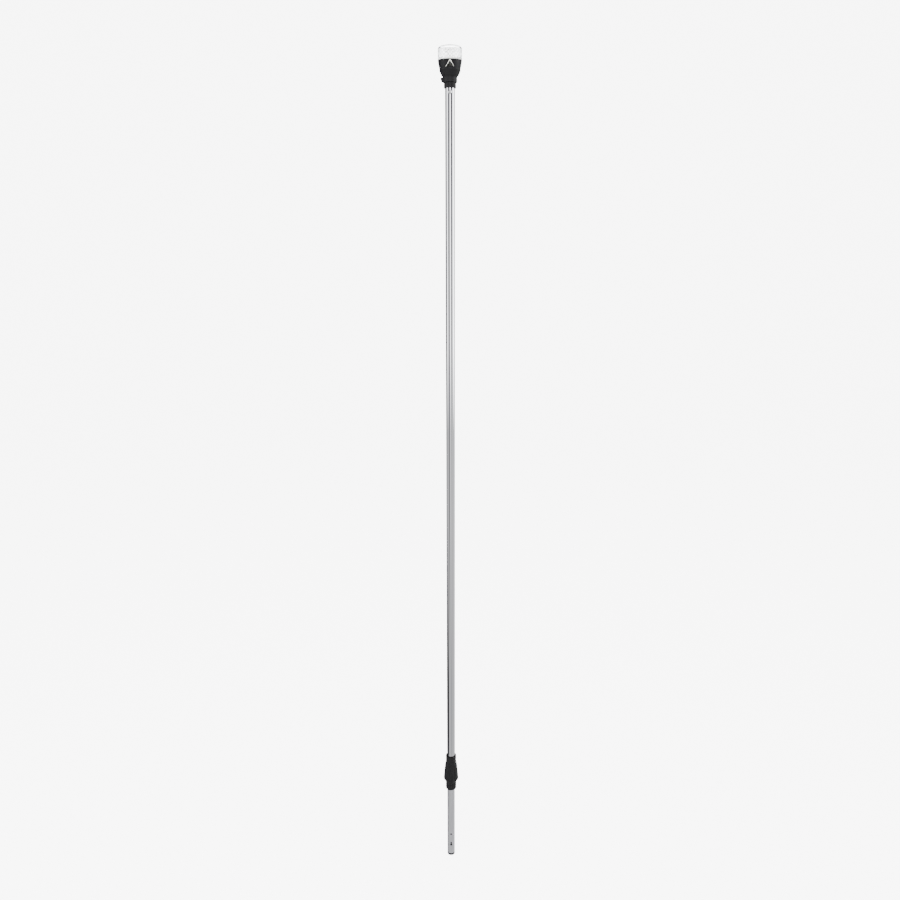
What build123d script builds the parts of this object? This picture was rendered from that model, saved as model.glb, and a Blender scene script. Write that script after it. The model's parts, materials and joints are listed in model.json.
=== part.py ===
from build123d import *
import os

os.makedirs("parts", exist_ok=True)

# Plug-in all-round light on a pole. All sizes are in millimetres.
# The origin is on the pole's axis at the plug's lower end, +Z runs up the pole,
# and the task light faces -Y. The push button for the task light is on the -X side.

# ---------------------------------------------------------------- driving sizes
TOTAL_LENGTH = 1524.0
MAST_R = 15.875 / 2
MAST_WALL = 0.9
PLUG_R = 7.6
PLUG_WALL = 1.0
SLIP = 0.02
RUNNING = 0.09
TURNING = 0.10

# ---------------------------------------------------------------- plug end
RIM_HEIGHT = 4.6
PLUG_WALL_TOP_Z = 156.0
PLUG_STEP_R = 7.45
TUBE_JOINT_Z = 165.0
PLUG_NECK_TOP_Z = 200.0
PLUG_NECK_WALL = 0.9
PLUG_BARREL_TOP_Z = 60.0
PLUG_BARREL_R = PLUG_R - PLUG_WALL - 0.05
NUB_Z = 51.0
NUB_HOLE_R = 1.75
NUB_R = 1.6
NUB_RECESS = 0.3
KEY_SLOT_TOP_Z = 31.0
KEY_SLOT_TOP_R = 1.6
KEY_SLOT_LOW_Z = 25.5
KEY_SLOT_LOW_R = 2.35
KEYWAY_WIDTH = 2.4
KEYWAY_DEPTH = 1.4
SLOT_NECK_WIDTH = 2.4
CONTACT_OFFSET = 3.0
CONTACT_R = 1.7
CONTACT_BORE_R = 1.2
CONTACT_TOP_Z = 18.0
CONTACT_BORE_DEPTH = 14.0
PLUG_RING_Z = 10.0
PLUG_RING_R = 0.6

# ---------------------------------------------------------------- wires
WIRE_R = 0.9
WIRE_BORE_R = WIRE_R + 0.05
LEAD_R = 0.6

# ---------------------------------------------------------------- collar stop
STOP_LOW_Z = 176.0
STOP_TOP_Z = 182.0
STOP_R = 8.9
PIN_Z = 179.0
PIN_R = 1.25

# ---------------------------------------------------------------- collar
COLLAR_LOW_Z = 157.7
SKIRT_R = 10.6
SKIRT_BORE_R = 9.2
SKIRT_SHOULDER_Z = 174.1
SKIRT_JOINT_R = 12.1
SKIRT_JOINT_Z = 176.6
SKIRT_TOP_Z = STOP_TOP_Z - 0.1
SKIRT_CHAMFER = 0.6
SKIRT_RING_Z = 171.0
SKIRT_RING_R = 0.4
SKIRT_LINE_ZS = (160.0, 168.6)
SKIRT_LINE_HEIGHT = 0.6
SKIRT_LINE_DEPTH = 0.3
LOCK_TOP_Z = 167.0
LOCK_WIDTH = 2.6
LOCK_DEPTH = 0.7
LOCK_ENTRY_ANGLE = 15.0
LOCK_TURN_ANGLE = 50.0
BUSH_TOP_Z = 228.0
BUSH_R = 9.15
BUSH_FLANGE_R = 11.5
BUSH_FLANGE_TOP_Z = 185.0
BUSH_RING_Z = 183.5
BUSH_RING_R = 0.7
GRIP_WIDEST_R = 14.7
GRIP_WIDEST_LOW_Z = 180.4
GRIP_WIDEST_TOP_Z = 184.0
GRIP_WAIST_R = 12.2
GRIP_WAIST_Z = 210.5
GRIP_NECK_R = 10.35
GRIP_NECK_Z = 219.5
GRIP_TOP_Z = 232.5
GRIP_BENDS = (
    (GRIP_WIDEST_LOW_Z, 0.9),
    (GRIP_WIDEST_TOP_Z, 8.0),
    (GRIP_WAIST_Z, 14.0),
    (GRIP_NECK_Z, 6.0),
)
FLUTE_COUNT = 12
FLUTE_R = 6.0
FLUTE_DEPTH = 0.6
FLUTE_RUN_OUT = 10.0

# ---------------------------------------------------------------- head
MAST_TOP_Z = 1469.5
SLEEVE_LOW_Z = 1461.9
SLEEVE_R = 9.85
SLEEVE_BORE_R = MAST_R + 0.03
NECK_R = 11.6
NECK_LOW_Z = 1470.2
NECK_TOP_Z = 1477.7
NECK_BORE_R = 8.6
RIM_R = 19.35
RIM_BORE_R = 17.4
RIM_TOP_Z = 1502.5
LEDGE_Z = 1499.2
WAIST_LOW_R = 15.5
WAIST_LOW_Z = 1484.3
WAIST_TOP_R = 16.6
WAIST_TOP_Z = 1488.4
WAIST_PROUD = 0.5
SHELL_WALL = 2.0
SLEEVE_RING_Z = 1463.6
SLEEVE_RING_R = 0.4

SPIGOT_LOW_Z = 1440.0
SPIGOT_R = MAST_R - MAST_WALL - SLIP
SPIGOT_BORE_R = 4.2
SPIGOT_FLANGE_R = NECK_BORE_R - 0.1
SPIGOT_FLANGE_TOP_Z = MAST_TOP_Z + 0.9
RIVET_Z = 1455.0
RIVET_SHANK_R = 1.6
RIVET_HEAD_R = 2.9
RIVET_HEAD_HEIGHT = 1.7
RIVET_TAIL_Y = 4.5
SCREW_Z = 1466.6
SCREW_R = 1.25
SCREW_HEAD_R = 2.2
SCREW_HEAD_HEIGHT = 1.3
SCREW_SLOT = 0.6
SCREW_SLOT_DEPTH = 0.7
SCREW_HEAD_ROUNDING = 0.7

# ---------------------------------------------------------------- head insides
BOARD_THICKNESS = 1.6
DRIVER_R = 10.4
DRIVER_LOW_Z = 1488.0
CAPACITOR_R = 2.6
CAPACITOR_HEIGHT = 4.0
COIL_R = 2.0
COIL_HEIGHT = 6.5
CHIP_HEIGHT = 1.3
CHIP_SIZES = ((4.0, 3.4), (2.6, 1.8))
CHIP_PLACES = ((3.0, -4.0), (-2.6, -5.0))
DRIVER_TOP_Z = DRIVER_LOW_Z + BOARD_THICKNESS
SINK_R = 17.2
SINK_THICKNESS = 2.5
SINK_TOP_Z = LEDGE_Z + SINK_THICKNESS
SINK_POST_RADIUS = 8.0
SINK_POST_R = 1.3
BOSS_RADIUS = 13.0
BOSS_R = 2.2
BOSS_LOW_Z = 1485.6
SINK_SCREW_R = 1.1
SINK_SCREW_HEAD_R = 2.0
SINK_SCREW_HEAD_HEIGHT = 1.3
SINK_SCREW_LOW_Z = 1492.0
SINK_SCREW_ROUNDING = 0.6
CROSS_LENGTH = 2.4
CROSS_WIDTH = 0.5
CROSS_DEPTH = 0.7
LED_BOARD_R = 17.1
LED_BOARD_TOP_Z = SINK_TOP_Z + BOARD_THICKNESS
LED_COUNT = 8
LED_RADIUS = 7.5
LED_SIZE = 3.0
LED_HEIGHT = 1.4
LED_DOME_R = 1.1
THIRDS_START = 90

GASKET_R = 19.2
GASKET_BORE_R = 17.5
GASKET_TOP_Z = RIM_TOP_Z + 1.8
LENS_R = 19.1
LENS_BORE_R = 16.9
LENS_FOOT_BORE_R = 17.25
LENS_FOOT_TOP_Z = 1506.0
LENS_CORNER_R = 4.5
LENS_CROWN_RISE = 1.0
LENS_TOP_THICKNESS = 2.6
LENS_CEILING_Z = TOTAL_LENGTH - LENS_TOP_THICKNESS
CONE_TOP_R = 12.0
CONE_TIP_R = 1.0
CONE_TIP_Z = 1508.5

# ---------------------------------------------------------------- task light
CHEVRON_APEX_Z = 1502.0
CHEVRON_FOOT_Z = 1491.2
CHEVRON_HALF_WIDTH = 6.6
CHEVRON_FOOT_STRIP = 0.3
CHEVRON_APEX_STRIP = 2.2
CHEVRON_SINK = 1.0
CHEVRON_PROUD = 0.35
WINDOW_TOP_Z = 1498.0
WINDOW_FOOT_Z = 1491.6
WINDOW_HALF_WIDTH = 4.6
WINDOW_SINK = 1.3
WINDOW_RECESS = 0.2
TASK_BOARD_Y = 12.4
TASK_BOARD_HALF_WIDTH = 5.0
TASK_BOARD_THICKNESS = 1.0
TASK_BOARD_LOW_Z = 1491.4
TASK_LED_SIZE = 2.8
TASK_LED_HEIGHT = 1.2
TASK_LED_OFFSET = 2.2
TASK_LED_Z = 1494.6
TASK_LEAD_Z = 1493.6
TASK_LEAD_Y = 9.0
TASK_LEAD_BEND = 1.6

# ---------------------------------------------------------------- push button
BUTTON_Z = 1473.95
BUTTON_HALF_WIDTH = 3.0
BUTTON_HALF_HEIGHT = 3.2
BUTTON_GAP = 0.12
BUTTON_ROUNDING = 1.5
BUTTON_REACH_TOP = 15.1
BUTTON_REACH_LOW = 13.3
BUTTON_STEM_X = 6.5
BUTTON_FLANGE_X = 7.5
BUTTON_FLANGE_HALF_WIDTH = 3.9
BUTTON_TRAVEL = 1.2
PLUNGER_R = 1.6
PLUNGER_BORE_R = 1.75
PLUNGER_END_X = 4.6
PLUNGER_END_GAP = 0.3
SWITCH_FRONT_X = 5.2
SWITCH_BACK_X = 2.2
SWITCH_HALF = 2.95
SWITCH_BOARD_X = 1.2
SWITCH_BOARD_HALF_WIDTH = 5.5
SWITCH_BOARD_TOP_Z = 1478.4


def head_outline_points():
    """Outer line of the bowl from the top of the neck to the rim, as radius and height."""
    return [
        (NECK_R, NECK_TOP_Z),
        (13.1, 1479.6),
        (14.5, 1481.5),
        (WAIST_LOW_R, WAIST_LOW_Z),
        (WAIST_LOW_R + WAIST_PROUD, WAIST_LOW_Z + WAIST_PROUD),
        (WAIST_TOP_R + WAIST_PROUD, WAIST_TOP_Z - WAIST_PROUD),
        (WAIST_TOP_R, WAIST_TOP_Z),
        (18.0, 1494.5),
        (18.75, 1498.5),
        (RIM_R, RIM_TOP_Z),
    ]


def radius_at(height):
    """Radius of the bowl's outer line at a height above the waist ring."""
    points = [point for point in head_outline_points() if point[1] >= WAIST_TOP_Z]
    for low, high in zip(points, points[1:]):
        if low[1] <= height <= high[1]:
            share = (height - low[1]) / (high[1] - low[1])
            return low[0] + share * (high[0] - low[0])
    return RIM_R


def band_points(inward, outward, low_z, top_z):
    """Closed outline of a band that follows the bowl's upper wall."""
    heights = [low_z] + [z for r, z in head_outline_points() if low_z < z < top_z] + [top_z]
    inner = [(radius_at(z) - inward, z) for z in heights]
    outer = [(radius_at(z) + outward, z) for z in reversed(heights)]
    return inner + outer + [inner[0]]


# ================================================================ pole and plug
with BuildPart() as mast_tube:
    with BuildSketch(Plane.XY.offset(TUBE_JOINT_Z)):
        Circle(MAST_R)
        Circle(MAST_R - MAST_WALL, mode=Mode.SUBTRACT)
    extrude(amount=MAST_TOP_Z - TUBE_JOINT_Z)
    with BuildSketch(Plane.XZ):
        with Locations((0, RIVET_Z)):
            Circle(RIVET_SHANK_R)
    extrude(amount=MAST_R + 1, mode=Mode.SUBTRACT)
    with BuildSketch(Plane.XZ):
        with Locations((0, SCREW_Z)):
            Circle(SCREW_R)
    extrude(amount=-MAST_R - 1, mode=Mode.SUBTRACT)
    with BuildSketch(Plane.YZ):
        with Locations((0, PIN_Z)):
            Circle(PIN_R)
    extrude(amount=MAST_R + 1, both=True, mode=Mode.SUBTRACT)

with BuildPart() as plug_tube:
    neck_r = MAST_R - MAST_WALL - SLIP
    with BuildSketch(Plane.XZ):
        with BuildLine():
            Polyline(
                (PLUG_R - PLUG_WALL, RIM_HEIGHT),
                (PLUG_R, RIM_HEIGHT),
                (PLUG_R, PLUG_WALL_TOP_Z),
                (PLUG_STEP_R, PLUG_WALL_TOP_Z + 0.5),
                (PLUG_STEP_R, TUBE_JOINT_Z),
                (neck_r, TUBE_JOINT_Z),
                (neck_r, PLUG_NECK_TOP_Z - 1),
                (neck_r - 0.5, PLUG_NECK_TOP_Z),
                (neck_r - PLUG_NECK_WALL, PLUG_NECK_TOP_Z),
                (neck_r - PLUG_NECK_WALL, TUBE_JOINT_Z - 3),
                (PLUG_R - PLUG_WALL, TUBE_JOINT_Z - 4),
                close=True,
            )
        make_face()
    revolve(axis=Axis.Z)
    with BuildSketch(Plane.XZ):
        with Locations((0, NUB_Z)):
            Circle(NUB_HOLE_R)
        with Locations((0, KEY_SLOT_LOW_Z)):
            Circle(KEY_SLOT_LOW_R)
        with Locations((0, KEY_SLOT_TOP_Z)):
            Circle(KEY_SLOT_TOP_R)
        with Locations((0, (KEY_SLOT_LOW_Z + KEY_SLOT_TOP_Z) / 2)):
            Rectangle(SLOT_NECK_WIDTH, KEY_SLOT_TOP_Z - KEY_SLOT_LOW_Z)
    extrude(amount=PLUG_R + 1, mode=Mode.SUBTRACT)
    with BuildSketch(Plane.YZ):
        with Locations((0, PIN_Z)):
            Circle(PIN_R)
    extrude(amount=PLUG_R + 1, both=True, mode=Mode.SUBTRACT)

with BuildPart() as plug_body:
    with BuildSketch(Plane.XY):
        Circle(PLUG_R)
    extrude(amount=RIM_HEIGHT)
    with BuildSketch(Plane.XY.offset(RIM_HEIGHT)):
        Circle(PLUG_BARREL_R)
    extrude(amount=PLUG_BARREL_TOP_Z - RIM_HEIGHT)
    top_edge = faces().sort_by(Axis.Z)[-1].edges()
    chamfer(top_edge, length=0.8)
    with BuildSketch(Plane.XZ):
        with Locations((0, NUB_Z)):
            Circle(NUB_R)
    extrude(amount=PLUG_R - NUB_RECESS)
    with BuildSketch(Plane.XY):
        with Locations((0, CONTACT_OFFSET), (0, -CONTACT_OFFSET)):
            Circle(CONTACT_R)
    extrude(amount=CONTACT_TOP_Z, mode=Mode.SUBTRACT)
    with BuildSketch(Plane.XY):
        with Locations((0, CONTACT_OFFSET), (0, -CONTACT_OFFSET)):
            Circle(WIRE_BORE_R)
    extrude(amount=PLUG_BARREL_TOP_Z, mode=Mode.SUBTRACT)
    with BuildSketch(Plane.XY):
        with Locations((PLUG_R - KEYWAY_DEPTH / 2, 0)):
            Rectangle(KEYWAY_DEPTH, KEYWAY_WIDTH)
    extrude(amount=RIM_HEIGHT, mode=Mode.SUBTRACT)
    ring_centre_r = PLUG_R - PLUG_WALL - PLUG_RING_R
    with BuildSketch(Plane.XZ):
        with Locations((ring_centre_r + PLUG_RING_R, PLUG_RING_Z)):
            Rectangle(PLUG_RING_R * 4, PLUG_RING_R * 2.4)
    revolve(axis=Axis.Z, mode=Mode.SUBTRACT)

with BuildPart() as plug_seal:
    with BuildSketch(Plane.XZ):
        with Locations((ring_centre_r, PLUG_RING_Z)):
            Circle(PLUG_RING_R)
    revolve(axis=Axis.Z)


def make_contact(side):
    """Brass contact socket with a blind bore that opens downwards."""
    with BuildPart() as contact:
        with BuildSketch(Plane.XY):
            with Locations((0, side * CONTACT_OFFSET)):
                Circle(CONTACT_R)
        extrude(amount=CONTACT_TOP_Z)
        with BuildSketch(Plane.XY):
            with Locations((0, side * CONTACT_OFFSET)):
                Circle(CONTACT_BORE_R)
        extrude(amount=CONTACT_BORE_DEPTH, mode=Mode.SUBTRACT)
    return contact


def make_wire(side):
    """Insulated core from a contact socket up the pole to the driver board."""
    with BuildPart() as wire:
        with BuildSketch(Plane.XY.offset(CONTACT_TOP_Z)):
            with Locations((0, side * CONTACT_OFFSET)):
                Circle(WIRE_R)
        extrude(amount=DRIVER_LOW_Z - CONTACT_TOP_Z)
    return wire


contact_positive = make_contact(1)
contact_negative = make_contact(-1)
wire_positive = make_wire(1)
wire_negative = make_wire(-1)

with BuildPart() as stop_ring:
    with BuildSketch(Plane.XY.offset(STOP_LOW_Z)):
        Circle(STOP_R)
        Circle(MAST_R, mode=Mode.SUBTRACT)
    extrude(amount=STOP_TOP_Z - STOP_LOW_Z)
    outer_edges = edges().filter_by(GeomType.CIRCLE).sort_by(SortBy.RADIUS)[-2:]
    chamfer(outer_edges, length=0.3)
    with BuildSketch(Plane.YZ):
        with Locations((0, PIN_Z)):
            Circle(PIN_R)
    extrude(amount=STOP_R + 1, both=True, mode=Mode.SUBTRACT)

with BuildPart() as joint_pin:
    with BuildSketch(Plane.YZ):
        with Locations((0, PIN_Z)):
            Circle(PIN_R)
    extrude(amount=STOP_R - 0.15, both=True)
    chamfer(edges().filter_by(GeomType.CIRCLE), length=0.2)

# ================================================================ collar
with BuildPart() as collar_bush:
    bore_r = MAST_R + RUNNING
    with BuildSketch(Plane.XZ):
        with BuildLine():
            Polyline(
                (bore_r, STOP_TOP_Z),
                (BUSH_FLANGE_R, STOP_TOP_Z),
                (BUSH_FLANGE_R, BUSH_FLANGE_TOP_Z),
                (BUSH_R, BUSH_FLANGE_TOP_Z),
                (BUSH_R, BUSH_TOP_Z),
                (bore_r, BUSH_TOP_Z),
                close=True,
            )
        make_face()
    revolve(axis=Axis.Z)
    bush_ring_centre_r = MAST_R + 0.06 + BUSH_RING_R
    with BuildSketch(Plane.XZ):
        with Locations((bush_ring_centre_r, BUSH_RING_Z)):
            Rectangle(BUSH_RING_R * 2, BUSH_RING_R * 2.2)
    revolve(axis=Axis.Z, mode=Mode.SUBTRACT)

with BuildPart() as collar_friction_ring:
    with BuildSketch(Plane.XZ):
        with Locations((bush_ring_centre_r, BUSH_RING_Z)):
            Circle(BUSH_RING_R)
    revolve(axis=Axis.Z)

with BuildPart() as lock_slot:
    lock_steps = ((COLLAR_LOW_Z, LOCK_ENTRY_ANGLE), (LOCK_TOP_Z - LOCK_WIDTH, LOCK_TURN_ANGLE))
    for low_z, sweep_angle in lock_steps:
        with BuildSketch(Plane.XZ):
            with Locations((SKIRT_R - LOCK_DEPTH, low_z)):
                Rectangle(LOCK_DEPTH * 2, LOCK_TOP_Z - low_z, align=(Align.MIN, Align.MIN))
        revolve(axis=Axis.Z, revolution_arc=sweep_angle)

with BuildPart() as collar_skirt:
    with BuildSketch(Plane.XZ):
        with BuildLine():
            Polyline(
                (SKIRT_BORE_R, COLLAR_LOW_Z),
                (SKIRT_R - SKIRT_CHAMFER, COLLAR_LOW_Z),
                (SKIRT_R, COLLAR_LOW_Z + SKIRT_CHAMFER),
                (SKIRT_R, SKIRT_SHOULDER_Z),
                (SKIRT_JOINT_R, SKIRT_JOINT_Z),
                (SKIRT_JOINT_R, SKIRT_TOP_Z),
                (SKIRT_BORE_R, SKIRT_TOP_Z),
                close=True,
            )
        make_face()
    revolve(axis=Axis.Z)
    with BuildSketch(Plane.XZ):
        with Locations(*[(SKIRT_R, line_z) for line_z in SKIRT_LINE_ZS]):
            Rectangle(SKIRT_LINE_DEPTH * 2, SKIRT_LINE_HEIGHT)
        with Locations((SKIRT_R, SKIRT_RING_Z)):
            Rectangle(SKIRT_RING_R * 4, SKIRT_RING_R * 2.2)
    revolve(axis=Axis.Z, mode=Mode.SUBTRACT)
    with PolarLocations(0, 2):
        add(lock_slot.part, mode=Mode.SUBTRACT)

with BuildPart() as collar_seal:
    with BuildSketch(Plane.XZ):
        with Locations((SKIRT_R - SKIRT_RING_R, SKIRT_RING_Z)):
            Circle(SKIRT_RING_R)
    revolve(axis=Axis.Z)

grip_rise = GRIP_WAIST_Z - GRIP_WIDEST_TOP_Z
grip_slope = Plane(
    origin=(GRIP_WIDEST_R + FLUTE_R - FLUTE_DEPTH, 0, GRIP_WIDEST_TOP_Z),
    x_dir=(0, 1, 0),
    z_dir=(GRIP_WAIST_R - GRIP_WIDEST_R, 0, grip_rise),
)

with BuildPart() as flute_cutter:
    with BuildSketch(grip_slope.offset(-FLUTE_RUN_OUT)):
        Circle(FLUTE_R)
    extrude(amount=grip_rise + 2 * FLUTE_RUN_OUT)

with BuildPart() as collar_grip:
    with BuildSketch(Plane.XZ) as grip_profile:
        with BuildLine():
            Polyline(
                (SKIRT_JOINT_R, SKIRT_JOINT_Z),
                (GRIP_WIDEST_R, GRIP_WIDEST_LOW_Z),
                (GRIP_WIDEST_R, GRIP_WIDEST_TOP_Z),
                (GRIP_WAIST_R, GRIP_WAIST_Z),
                (GRIP_NECK_R, GRIP_NECK_Z),
                (GRIP_NECK_R, GRIP_TOP_Z),
                (BUSH_R + TURNING, GRIP_TOP_Z),
                (BUSH_R + TURNING, BUSH_FLANGE_TOP_Z + 0.1),
                (SKIRT_JOINT_R, BUSH_FLANGE_TOP_Z + 0.1),
                close=True,
            )
        make_face()
        for height, radius in GRIP_BENDS:
            fillet(grip_profile.vertices().filter_by_position(Axis.Y, height, height), radius=radius)
    revolve(axis=Axis.Z)
    with PolarLocations(0, FLUTE_COUNT):
        add(flute_cutter.part, mode=Mode.SUBTRACT)

# ================================================================ head
with BuildPart() as chevron_pocket:
    with BuildSketch(Plane.XZ):
        with BuildLine():
            Polyline(
                (0, CHEVRON_APEX_Z),
                (CHEVRON_HALF_WIDTH, CHEVRON_FOOT_Z),
                (CHEVRON_HALF_WIDTH - CHEVRON_FOOT_STRIP, CHEVRON_FOOT_Z),
                (0, CHEVRON_APEX_Z - CHEVRON_APEX_STRIP),
                (CHEVRON_FOOT_STRIP - CHEVRON_HALF_WIDTH, CHEVRON_FOOT_Z),
                (-CHEVRON_HALF_WIDTH, CHEVRON_FOOT_Z),
                close=True,
            )
        make_face()
    extrude(amount=RIM_R + 5)
    with BuildSketch(Plane.XZ):
        with BuildLine():
            Polyline(*band_points(CHEVRON_SINK, CHEVRON_PROUD, CHEVRON_FOOT_Z - 1, RIM_TOP_Z))
        make_face()
    revolve(axis=Axis.Z, mode=Mode.INTERSECT)

with BuildPart() as task_bezel:
    add(chevron_pocket.part)

with BuildPart() as window_prism:
    with BuildSketch(Plane.XZ):
        with BuildLine():
            Polyline(
                (0, WINDOW_TOP_Z),
                (WINDOW_HALF_WIDTH, WINDOW_FOOT_Z),
                (-WINDOW_HALF_WIDTH, WINDOW_FOOT_Z),
                close=True,
            )
        make_face()
    extrude(amount=RIM_R + 5)

with BuildPart() as task_window:
    add(window_prism.part)
    with BuildSketch(Plane.XZ):
        with BuildLine():
            Polyline(*band_points(WINDOW_SINK, -WINDOW_RECESS, WINDOW_FOOT_Z - 1, RIM_TOP_Z))
        make_face()
    revolve(axis=Axis.Z, mode=Mode.INTERSECT)

with BuildPart() as button_opening:
    with BuildSketch(Plane.YZ):
        with Locations((0, BUTTON_Z)):
            Rectangle((BUTTON_HALF_WIDTH + BUTTON_GAP) * 2, (BUTTON_HALF_HEIGHT + BUTTON_GAP) * 2)
    extrude(amount=-NECK_R - 2)

with BuildPart() as head_body:
    with BuildSketch(Plane.XZ):
        with BuildLine():
            Polyline(
                (SLEEVE_BORE_R, SLEEVE_LOW_Z),
                (SLEEVE_R, SLEEVE_LOW_Z),
                (SLEEVE_R, NECK_LOW_Z - 0.6),
                (NECK_R, NECK_LOW_Z),
                *head_outline_points(),
                (RIM_BORE_R, RIM_TOP_Z),
                (RIM_BORE_R, LEDGE_Z),
                (radius_at(LEDGE_Z) - SHELL_WALL - 0.9, LEDGE_Z),
                (WAIST_TOP_R - SHELL_WALL, WAIST_TOP_Z),
                (WAIST_LOW_R - SHELL_WALL, WAIST_LOW_Z + 1.4),
                (NECK_BORE_R, NECK_TOP_Z + 2.8),
                (NECK_BORE_R, MAST_TOP_Z),
                (SLEEVE_BORE_R, MAST_TOP_Z),
                close=True,
            )
        make_face()
    revolve(axis=Axis.Z)
    with BuildSketch(Plane.XY.offset(BOSS_LOW_Z)):
        with PolarLocations(BOSS_RADIUS, 3, start_angle=THIRDS_START):
            Circle(BOSS_R)
    extrude(amount=LEDGE_Z - BOSS_LOW_Z)
    with BuildSketch(Plane.XY.offset(SINK_SCREW_LOW_Z)):
        with PolarLocations(BOSS_RADIUS, 3, start_angle=THIRDS_START):
            Circle(SINK_SCREW_R)
    extrude(amount=LEDGE_Z - SINK_SCREW_LOW_Z, mode=Mode.SUBTRACT)
    with BuildSketch(Plane.XZ):
        with Locations((0, SCREW_Z)):
            Circle(SCREW_R)
    extrude(amount=-SLEEVE_R - 1, mode=Mode.SUBTRACT)
    sleeve_ring_centre_r = MAST_R + SLEEVE_RING_R
    with BuildSketch(Plane.XZ):
        with Locations((sleeve_ring_centre_r, SLEEVE_RING_Z)):
            Rectangle(SLEEVE_RING_R * 2, SLEEVE_RING_R * 2.4)
    revolve(axis=Axis.Z, mode=Mode.SUBTRACT)
    add(chevron_pocket.part, mode=Mode.SUBTRACT)
    add(window_prism.part, mode=Mode.SUBTRACT)
    add(button_opening.part, mode=Mode.SUBTRACT)

with BuildPart() as sleeve_ring:
    with BuildSketch(Plane.XZ):
        with Locations((sleeve_ring_centre_r, SLEEVE_RING_Z)):
            Circle(SLEEVE_RING_R)
    revolve(axis=Axis.Z)

with BuildPart() as mast_spigot:
    with BuildSketch(Plane.XY.offset(SPIGOT_LOW_Z)):
        Circle(SPIGOT_R)
    extrude(amount=MAST_TOP_Z - SPIGOT_LOW_Z)
    chamfer(faces().sort_by(Axis.Z)[0].edges(), length=0.8)
    with BuildSketch(Plane.XY.offset(MAST_TOP_Z)):
        Circle(SPIGOT_FLANGE_R)
    extrude(amount=SPIGOT_FLANGE_TOP_Z - MAST_TOP_Z)
    with BuildSketch(Plane.XY.offset(SPIGOT_LOW_Z)):
        Circle(SPIGOT_BORE_R)
    extrude(amount=SPIGOT_FLANGE_TOP_Z - SPIGOT_LOW_Z, mode=Mode.SUBTRACT)
    with BuildSketch(Plane.XZ):
        with Locations((0, RIVET_Z)):
            Circle(RIVET_SHANK_R)
    extrude(amount=SPIGOT_R + 1, mode=Mode.SUBTRACT)
    with BuildSketch(Plane.XZ):
        with Locations((0, SCREW_Z)):
            Circle(SCREW_R)
    extrude(amount=-SPIGOT_R - 1, mode=Mode.SUBTRACT)

with BuildPart() as mast_rivet:
    head_base = -MAST_R + 1.2
    head_edge = -MAST_R - 0.3
    head_top = -MAST_R - RIVET_HEAD_HEIGHT
    dome_rise = head_edge - head_top
    dome_sphere_r = (RIVET_HEAD_R**2 + dome_rise**2) / (2 * dome_rise)
    with BuildSketch(Plane.YZ):
        with BuildLine():
            Polyline(
                (head_top, RIVET_Z),
                (head_base, RIVET_Z),
                (head_base, RIVET_Z + RIVET_HEAD_R),
                (head_edge, RIVET_Z + RIVET_HEAD_R),
            )
            RadiusArc(
                (head_edge, RIVET_Z + RIVET_HEAD_R),
                (head_top, RIVET_Z),
                -dome_sphere_r,
            )
        make_face()
    revolve(axis=Axis((0, 0, RIVET_Z), (0, 1, 0)))
    with BuildSketch(Plane.XY.offset(RIVET_Z - RIVET_HEAD_R - 1)):
        Circle(MAST_R)
    extrude(amount=RIVET_HEAD_R * 2 + 2, mode=Mode.SUBTRACT)
    with BuildSketch(Plane.XZ.offset(RIVET_TAIL_Y)):
        with Locations((0, RIVET_Z)):
            Circle(RIVET_SHANK_R)
    extrude(amount=MAST_R + 0.4 - RIVET_TAIL_Y)

with BuildPart() as sleeve_screw:
    with BuildSketch(Plane.XZ.offset(-SLEEVE_R + 0.6)):
        with Locations((0, SCREW_Z)):
            Circle(SCREW_HEAD_R)
    extrude(amount=-SCREW_HEAD_HEIGHT - 0.6)
    fillet(faces().sort_by(Axis.Y)[-1].edges(), radius=SCREW_HEAD_ROUNDING)
    with BuildSketch(Plane.XZ.offset(-SLEEVE_R - SCREW_HEAD_HEIGHT)):
        with Locations((0, SCREW_Z)):
            Rectangle(SCREW_SLOT, SCREW_HEAD_R * 2 + 1)
    extrude(amount=SCREW_SLOT_DEPTH, mode=Mode.SUBTRACT)
    with BuildSketch(Plane.XY.offset(SCREW_Z - SCREW_HEAD_R - 1)):
        Circle(SLEEVE_R)
    extrude(amount=SCREW_HEAD_R * 2 + 2, mode=Mode.SUBTRACT)
    with BuildSketch(Plane.XZ.offset(-RIVET_TAIL_Y)):
        with Locations((0, SCREW_Z)):
            Circle(SCREW_R)
    extrude(amount=RIVET_TAIL_Y - SLEEVE_R - 0.4)

# ================================================================ lamp
with BuildPart() as heat_sink:
    with BuildSketch(Plane.XY.offset(LEDGE_Z)):
        Circle(SINK_R)
        with PolarLocations(BOSS_RADIUS, 3, start_angle=THIRDS_START):
            Circle(SINK_SCREW_R, mode=Mode.SUBTRACT)
    extrude(amount=SINK_THICKNESS)
    with BuildSketch(Plane.XY.offset(DRIVER_TOP_Z)):
        with PolarLocations(SINK_POST_RADIUS, 3, start_angle=THIRDS_START):
            Circle(SINK_POST_R)
    extrude(amount=LEDGE_Z - DRIVER_TOP_Z)

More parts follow.
